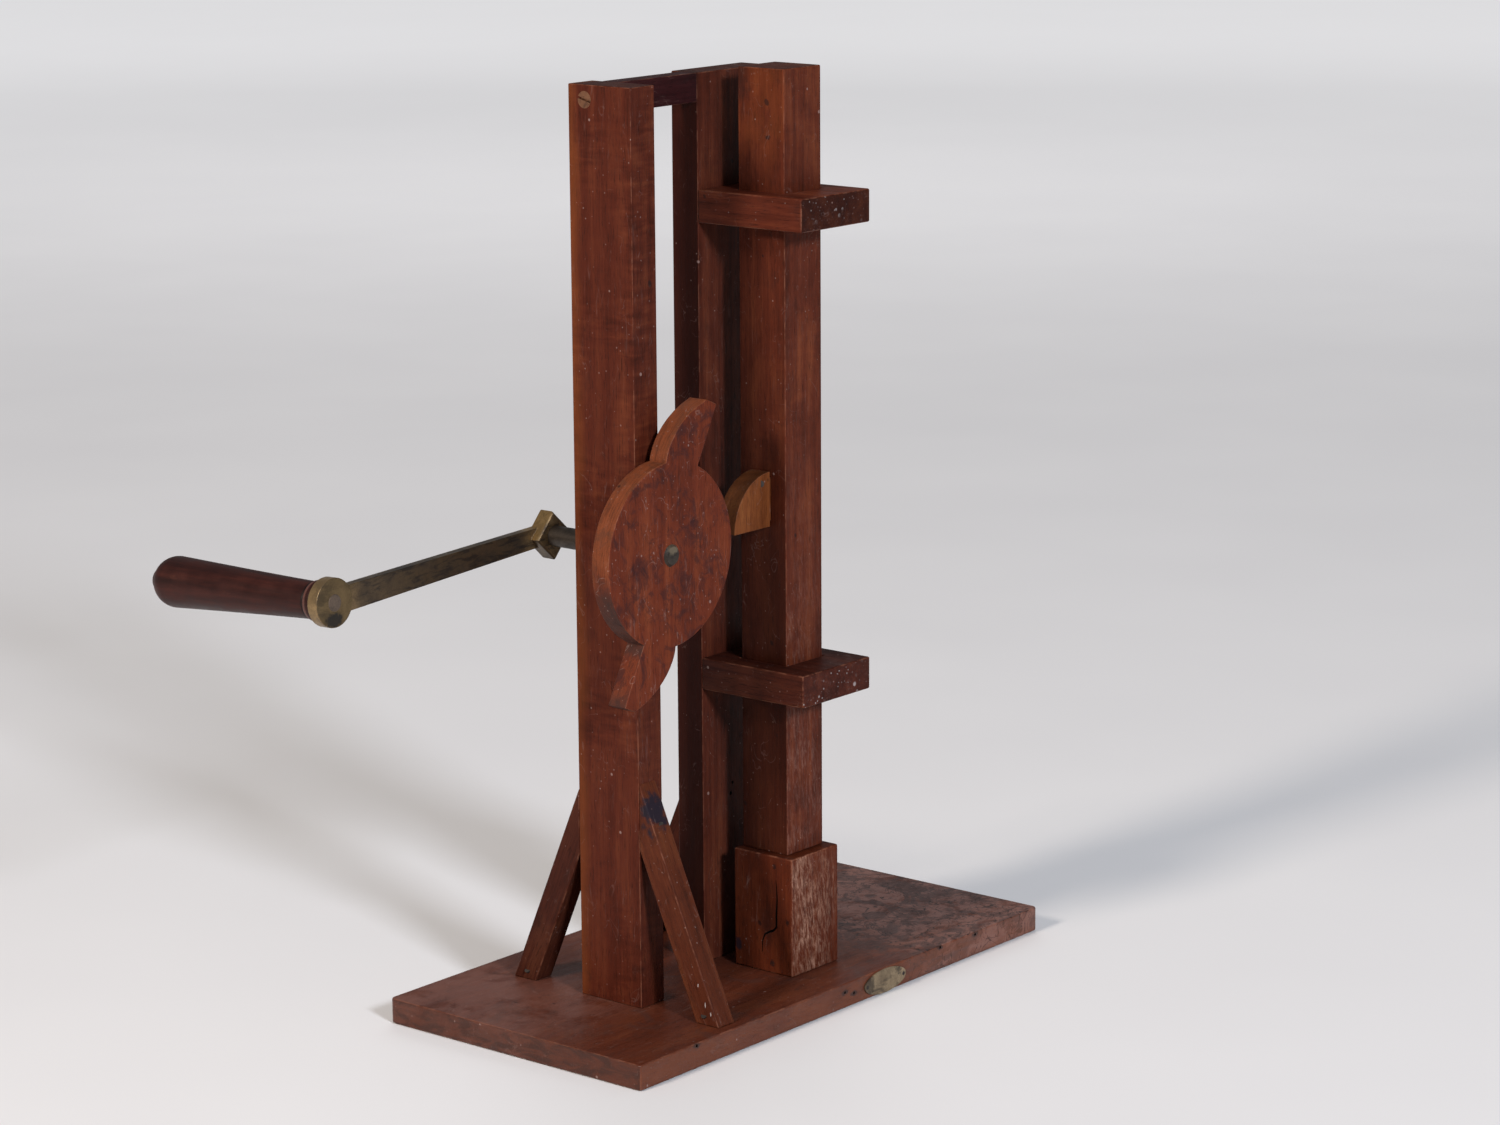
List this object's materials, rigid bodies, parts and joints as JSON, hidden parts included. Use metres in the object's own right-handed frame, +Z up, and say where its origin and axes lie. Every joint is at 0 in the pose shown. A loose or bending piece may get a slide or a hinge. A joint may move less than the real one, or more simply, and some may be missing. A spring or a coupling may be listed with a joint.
{
  "type": "cam and stamper demonstration model",
  "caption": "Wooden teaching model of a stamp mill: a brass hand crank turns a wooden cam whose wipers lift a square stamper sliding in guide blocks on an upright board.",
  "frame": {"origin": "centre of the underside of the base board", "axes": "+X along the base board from the crank post to the guide board, +Y towards the side with the crank, +Z up"},
  "size_m": [0.401, 0.2301, 0.4555],
  "materials": {
    "frame_wood": "red-brown hardwood, old satin varnish",
    "brace_wood": "red-brown hardwood, old satin varnish, scratched",
    "block_wood": "darker red-brown hardwood, satin varnish",
    "stem_wood": "red-brown hardwood, worn satin varnish",
    "shoe_wood": "red-brown hardwood, cracked and worn pale at the front",
    "tappet_wood": "lighter tan hardwood, worn",
    "cam_wood": "red-brown hardwood, satin varnish, orange where rubbed",
    "grip_wood": "dark red-brown turned hardwood, semi-gloss",
    "crank_brass": "aged olive-brown brass",
    "screw_brass": "dull brass",
    "plate_brass": "dull brass, blank",
    "shaft_steel": "darkened steel",
    "fastener_steel": "dark iron"
  },
  "bodies": {
    "frame": {"base_board": "frame_wood", "crank_post": "frame_wood", "guide_board": "frame_wood", "top_rail": "frame_wood", "rail_screw": "screw_brass", "front_brace": "brace_wood", "rear_brace": "brace_wood", "board_brace": "brace_wood", "brace_nails": "fastener_steel", "upright_screws": "fastener_steel", "upper_guide_block": "block_wood", "lower_guide_block": "block_wood", "guide_block_screws": "fastener_steel", "id_plate": "plate_brass", "id_plate_pins": "fastener_steel"},
    "crank": {"cam_wheel": "cam_wood", "cam_key": "fastener_steel", "crank_shaft": "shaft_steel", "spacer_washer": "crank_brass", "crank_arm": "crank_brass", "grip_spindle": "crank_brass", "grip_washer": "crank_brass"},
    "grip": {"handle_grip": "grip_wood"},
    "stamper": {"stamper_stem": "stem_wood", "stamper_shoe": "shoe_wood", "shoe_screw": "fastener_steel", "tappet": "tappet_wood", "tappet_screw": "fastener_steel", "tappet_nail": "fastener_steel"}
  },
  "joints": [
    {"name": "crank_turn", "type": "hinge", "parent": "frame", "child": "crank", "pos_m": [-0.0865, 0, 0.235], "axis": [0, -1, 0], "range_deg": [-12, 88]},
    {"name": "grip_spin", "type": "hinge", "parent": "crank", "child": "grip", "pos_m": [-0.23131, 0.03805, 0.22766], "axis": [0, 0.9992, -0.0401], "continuous": true},
    {"name": "stamp_lift", "type": "slide", "parent": "frame", "child": "stamper", "axis": [0, 0, 1], "range_m": [0, 0.055]}
  ]
}
